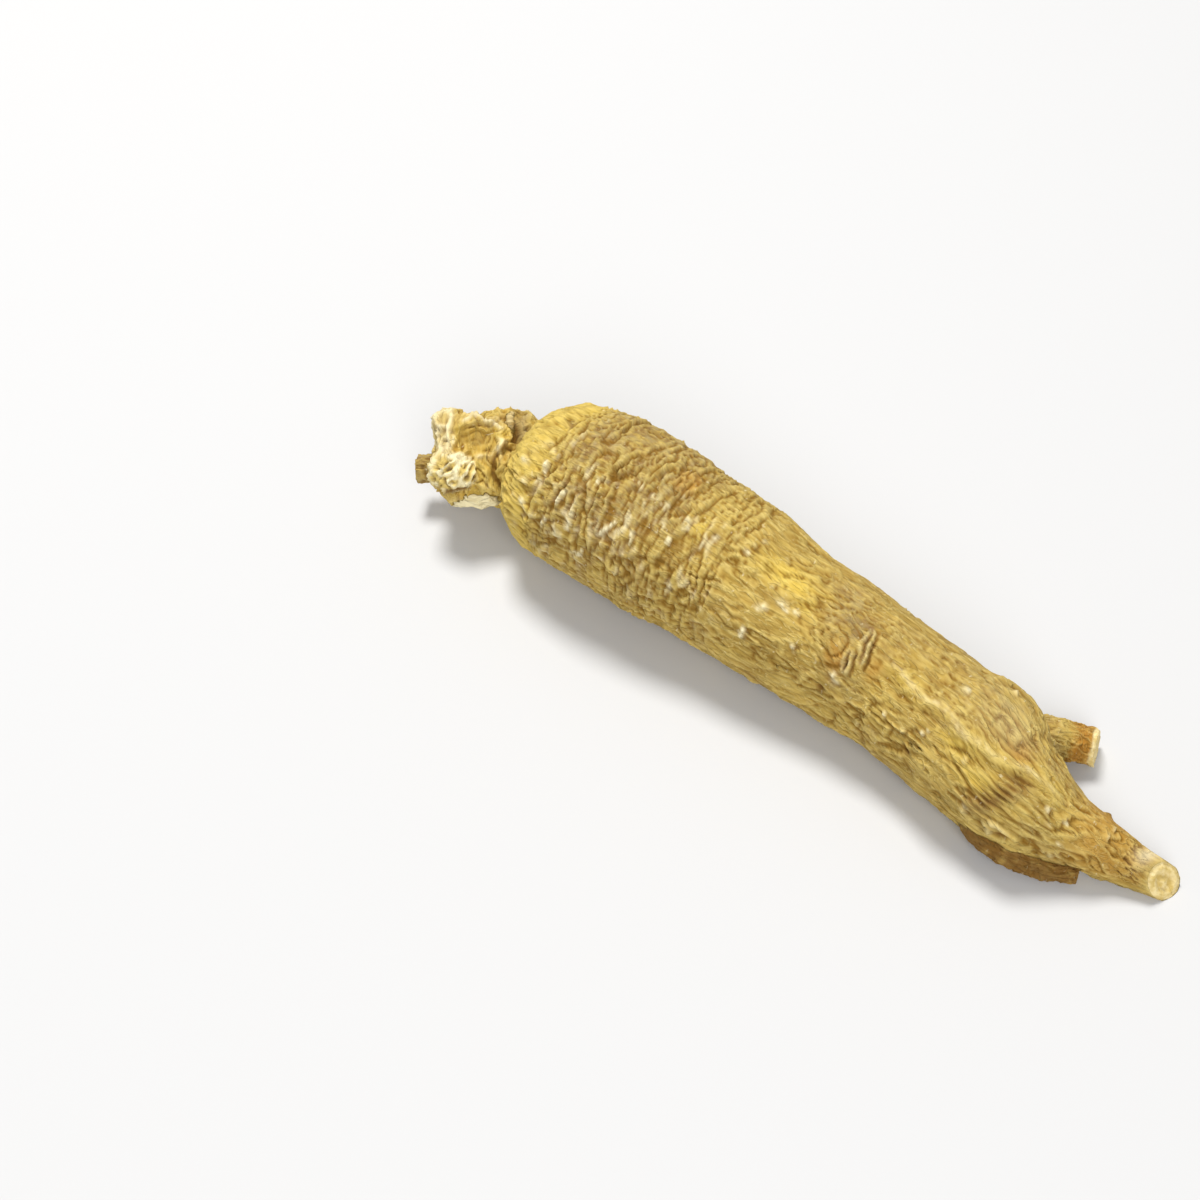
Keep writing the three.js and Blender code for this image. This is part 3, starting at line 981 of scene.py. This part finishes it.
def read_masks(n):
    masks = {}
    for k in range(0, len(MASKS), 3):
        attribute = n.add("ShaderNodeAttribute", attribute_name="masks%d" % (k // 3))
        split = n.add("ShaderNodeSeparateXYZ", {0: attribute.outputs["Vector"]})
        for j, name in enumerate(MASKS[k:k + 3]):
            masks[name] = split.outputs[j]
    return masks


def bark_lines(n, place, mask):
    """Fine cracks and raised threads in the bark, and finer cracks between them; the cracks take painted
    shade and the threads painted highlight.
    """
    bark = n.maths("SUBTRACT", 1.0, mask["cut"])
    web = n.cloud(place, (0.4, 1.5, 1.5), 2.0, 0.45, 0.6)
    fine_web = n.cloud(place, (0.7, 2.6, 2.6), 1.0, 0.5, 0.5)
    crack = n.times(n.line(web, 0.53, 0.04), bark)
    thread = n.times(n.line(web, 0.47, 0.035), bark)
    fine_crack = n.times(n.line(fine_web, 0.5, 0.04), bark)
    return crack, thread, fine_crack


def bark_colour(n, place, mask, fibre, lines):
    """Straw ground that varies slowly, under the lines, patches, hollows and crests."""
    crack, thread, fine_crack = lines
    slow = n.cloud(place, (0.12, 0.2, 0.2), 2.0)
    patchy = n.cloud(place, (0.5, 0.9, 0.9))
    dirt_and_shade_break = n.remap(n.cloud(place, (1.0, 1.3, 1.3), 4.0, 0.65), 0.36, 0.6)
    dirt_and_shade_kind = n.remap(n.cloud(place, (0.35, 0.5, 0.5), 2.0), 0.42, 0.58)
    dirt_and_shade_tone = n.blend(dirt_and_shade_kind, tone("grey_dirt"), tone("brown_dirt"))
    cut_kind = n.remap(n.cloud(place, (1.3, 1.3, 1.3)), 0.4, 0.62)
    cut_tone = n.blend(cut_kind, tone("shaded_cut"), tone("light_cut"))
    speck = n.remap(n.cloud(place, (2.2, 1.3, 1.3), 5.0, 0.6), 0.64, 0.74)
    colour = n.blend(n.remap(slow, 0.35, 0.65), tone("deep_straw"), tone("straw"))
    layers = (
        # where, strength, tone
        (n.remap(patchy, 0.42, 0.68), 0.7, tone("warm_straw")),
        (n.remap(fibre, 0.52, 0.72), 0.6, tone("light_fibre")),
        (n.remap(fibre, 0.48, 0.30), 0.5, tone("dark_fibre")),
        # painted shade in the cracks, painted highlight on the threads
        (crack, 0.24, tone("crack")),
        (thread, 0.4, tone("thread")),
        (fine_crack, 0.10, tone("fine_crack")),
        (mask["yellow"], 0.75, tone("yellow")),
        # real dirt, and painted shade on the stub
        (n.times(mask["dirt"], dirt_and_shade_break), 0.85, dirt_and_shade_tone),
        (mask["orange"], 0.7, tone("orange")),
        # painted highlight on crests, painted shade in hollows
        (mask["top"], 0.38, tone("top")),
        (mask["hollow"], 0.85, tone("hollow")),
        (mask["brown"], 0.85, tone("brown")),
        (speck, 0.45, tone("speck")),
        (mask["pale"], 1.0, tone("pale")),
        (mask["cut"], 0.8, cut_tone),
    )
    for where, strength, shade in layers:
        colour = n.blend(n.times(where, strength), colour, shade)
    return colour


def bark_bump(n, place, fibre, lines):
    """Fine relief under the modelled wrinkles."""
    crack, thread, fine_crack = lines
    grain = n.cloud(place, (5.0, 5.0, 5.0), 3.0, 0.6)
    pores = n.cloud(place, (11.0, 11.0, 11.0), 2.0, 0.5)
    height = n.times(fibre, 0.5)
    for layer, share in ((grain, 0.14), (pores, 0.05), (crack, -0.12), (thread, 0.16), (fine_crack, -0.03)):
        height = n.maths("ADD", height, n.times(layer, share))
    bump = n.add("ShaderNodeBump", {"Height": height, "Strength": BUMP_STRENGTH, "Distance": BUMP_DEPTH})
    return bump.outputs[0]


def bark_material():
    material = bpy.data.materials.new("root_skin_finish")
    material.use_nodes = True
    material.node_tree.nodes.clear()
    n = Nodes(material.node_tree)
    place = n.add("ShaderNodeAttribute", attribute_name="straight").outputs["Vector"]
    mask = read_masks(n)
    lines = bark_lines(n, place, mask)
    fibre = n.cloud(place, (0.45, 2.6, 2.6), 3.0, 0.5, 0.3)
    rough = n.maths("SUBTRACT", n.remap(fibre, 0.3, 0.7, 0.88, 0.68), n.times(mask["smooth"], 0.2))
    shader = n.add("ShaderNodeBsdfPrincipled", {
        "Base Color": bark_colour(n, place, mask, fibre, lines),
        "Roughness": rough,
        "Normal": bark_bump(n, place, fibre, lines),
        "Specular IOR Level": SPECULAR_LEVEL,
    })
    n.add("ShaderNodeOutputMaterial", {"Surface": shader.outputs[0]})
    return material


# ---- assembly
def main_shell(work):
    """The largest set of vertices that hang together."""
    left = set(work.verts)
    shells = []
    while left:
        front = [left.pop()]
        shell = set(front)
        while front:
            near = {vertex for edge in front.pop().link_edges for vertex in edge.verts} & left
            left -= near
            shell |= near
            front += near
        shells.append(shell)
    return max(shells, key=len)


def keep_main_shell(mesh):
    """Drops folded slivers, and any small shell closed off inside the root."""
    work = bmesh.new()
    work.from_mesh(mesh)
    bmesh.ops.dissolve_degenerate(work, dist=1e-6, edges=work.edges[:])
    bmesh.ops.triangulate(work, faces=[face for face in work.faces if len(face.verts) > 3])
    folded = [vertex for vertex in work.verts if len(vertex.link_edges) < 3]
    bmesh.ops.delete(work, geom=folded, context="VERTS")
    main = main_shell(work)
    bmesh.ops.delete(work, geom=[vertex for vertex in work.verts if vertex not in main], context="VERTS")
    work.to_mesh(mesh)
    work.free()


def join(body, parts):
    """Grows the parts and the body together into one closed skin."""
    for part in parts:
        union = body.modifiers.new("join", "BOOLEAN")
        union.operation = "UNION"
        union.solver = "MANIFOLD"
        union.object = part
    whole = bpy.data.meshes.new_from_object(body.evaluated_get(bpy.context.evaluated_depsgraph_get()))
    body.modifiers.clear()
    body.data = whole
    keep_main_shell(whole)
    for part in parts:
        bpy.data.objects.remove(part)
    whole.name = body.name
    whole.materials.clear()
    whole.materials.append(bark_material())
    whole.polygons.foreach_set("material_index", [0] * len(whole.polygons))
    whole.shade_smooth()


body = make_taproot()
join(body, [
    make_knob(),
    make_rootlet("far_rootlet", [(44, 4.5, 5.6), (49.5, 8.0, 4.4), (53, 10.8, 2.9), (56.2, 12.6, 1.95)],
                 [2.6, 2.35, 2.1, 1.85], 40, (0.37, 0.65, 0.16, 0.2), paint_far_rootlet, (-0.3, -0.45)),
    make_rootlet("lower_rootlet", [(47, -2.2, 4.0), (52.5, -4.7, 2.6), (57, -3.9, 1.5), (60.9, -2.3, 1.05)],
                 [1.8, 1.6, 1.35, 1.1], 50, (0.37, 0.87, 0.16, 0.11), paint_lower_rootlet),
    make_rootlet("stub", [(-21.5, 4.2, 6.4), (-24.6, 2.4, 5.4), (-27.4, 0.9, 4.9)],
                 [1.75, 1.65, 1.55], 55, (0.65, 0.65, 0.09, 0.12), paint_stub),
    make_scale("broken_scale", (-0.2, -4.8, 1.4), (2.9, 0.9, 1.8), 70,
               dict(pale=0.85, yellow=0.25, dirt=0.1), (0.65, 0.8, 0.1, 0.1)),
    make_scale("flange", (4.0, 4.0, 2.7), (0.42, 1.25, 1.0), 74,
               dict(pale=0.3, orange=0.2), (0.77, 0.65, 0.08, 0.08)),
])

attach(body, "root")
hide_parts("ginseng_root")

# ---- stage, light and camera, in metres
FLOOR_HALF = 3.0
FLOOR_COLOUR = (0.615, 0.615, 0.618, 1)
FLOOR_ROUGHNESS = 0.9
ROOM_COLOUR = (1.0, 1.0, 1.0, 1)
ROOM_STRENGTH = 0.38

# the camera looks down at the root from the near side, turned from the root's length
VIEW_TURN = math.radians(35.4)
VIEW_RISE = math.radians(50.0)
VIEW_DISTANCE = 0.194

right = Vector((math.cos(VIEW_TURN), math.sin(VIEW_TURN), 0))
away = Vector((-math.sin(VIEW_TURN), math.cos(VIEW_TURN), 0))
target = Vector((-FOOTPRINT_CENTRE[0] * MM, -FOOTPRINT_CENTRE[1] * MM, 0))
back = -away * math.cos(VIEW_RISE) + Vector((0, 0, math.sin(VIEW_RISE)))


def lay_floor():
    mesh = bpy.data.meshes.new("floor")
    corners = [(x * FLOOR_HALF, y * FLOOR_HALF, 0) for x, y in ((-1, -1), (1, -1), (1, 1), (-1, 1))]
    mesh.from_pydata(corners, [], [(0, 1, 2, 3)])
    paper = bpy.data.materials.new("floor_paper")
    paper.use_nodes = True
    shader = paper.node_tree.nodes["Principled BSDF"]
    shader.inputs["Base Color"].default_value = FLOOR_COLOUR
    shader.inputs["Roughness"].default_value = FLOOR_ROUGHNESS
    mesh.materials.append(paper)
    floor = bpy.data.objects.new("floor", mesh)
    bpy.context.scene.collection.objects.link(floor)
    return floor


def light_room():
    world = bpy.data.worlds.new("room")
    world.use_nodes = True
    background = world.node_tree.nodes["Background"]
    background.inputs[0].default_value = ROOM_COLOUR
    background.inputs[1].default_value = ROOM_STRENGTH
    bpy.context.scene.world = world


def aim(made, place, forward):
    """Puts a light or camera at a place, looking forward with its top up."""
    made.location = place
    made.rotation_euler = forward.to_track_quat("-Z", "Y").to_euler()
    bpy.context.scene.collection.objects.link(made)


def area_light(name, rightward, beyond, height, size, power, colour=(1, 1, 1)):
    """Round lamp aimed at the root, placed as the camera sees it."""
    data = bpy.data.lights.new(name, "AREA")
    data.shape = "DISK"
    data.size = size
    data.energy = power
    data.color = colour
    place = target + right * rightward + away * beyond + Vector((0, 0, height))
    aim(bpy.data.objects.new(name, data), place, target - place)


def set_camera():
    data = bpy.data.cameras.new("camera")
    data.lens = 50
    data.sensor_width = 36
    data.clip_start = 0.01
    camera = bpy.data.objects.new("camera", data)
    aim(camera, target + back * VIEW_DISTANCE, -back)
    bpy.context.scene.camera = camera


lay_floor()
light_room()
area_light("key", -0.12, 0.35, 0.75, 0.27, 6.8, (1.0, 0.99, 0.97))
area_light("fill", 0.05, -0.6, 0.45, 0.5, 3.2)
set_camera()
bpy.context.scene.view_settings.view_transform = "Standard"
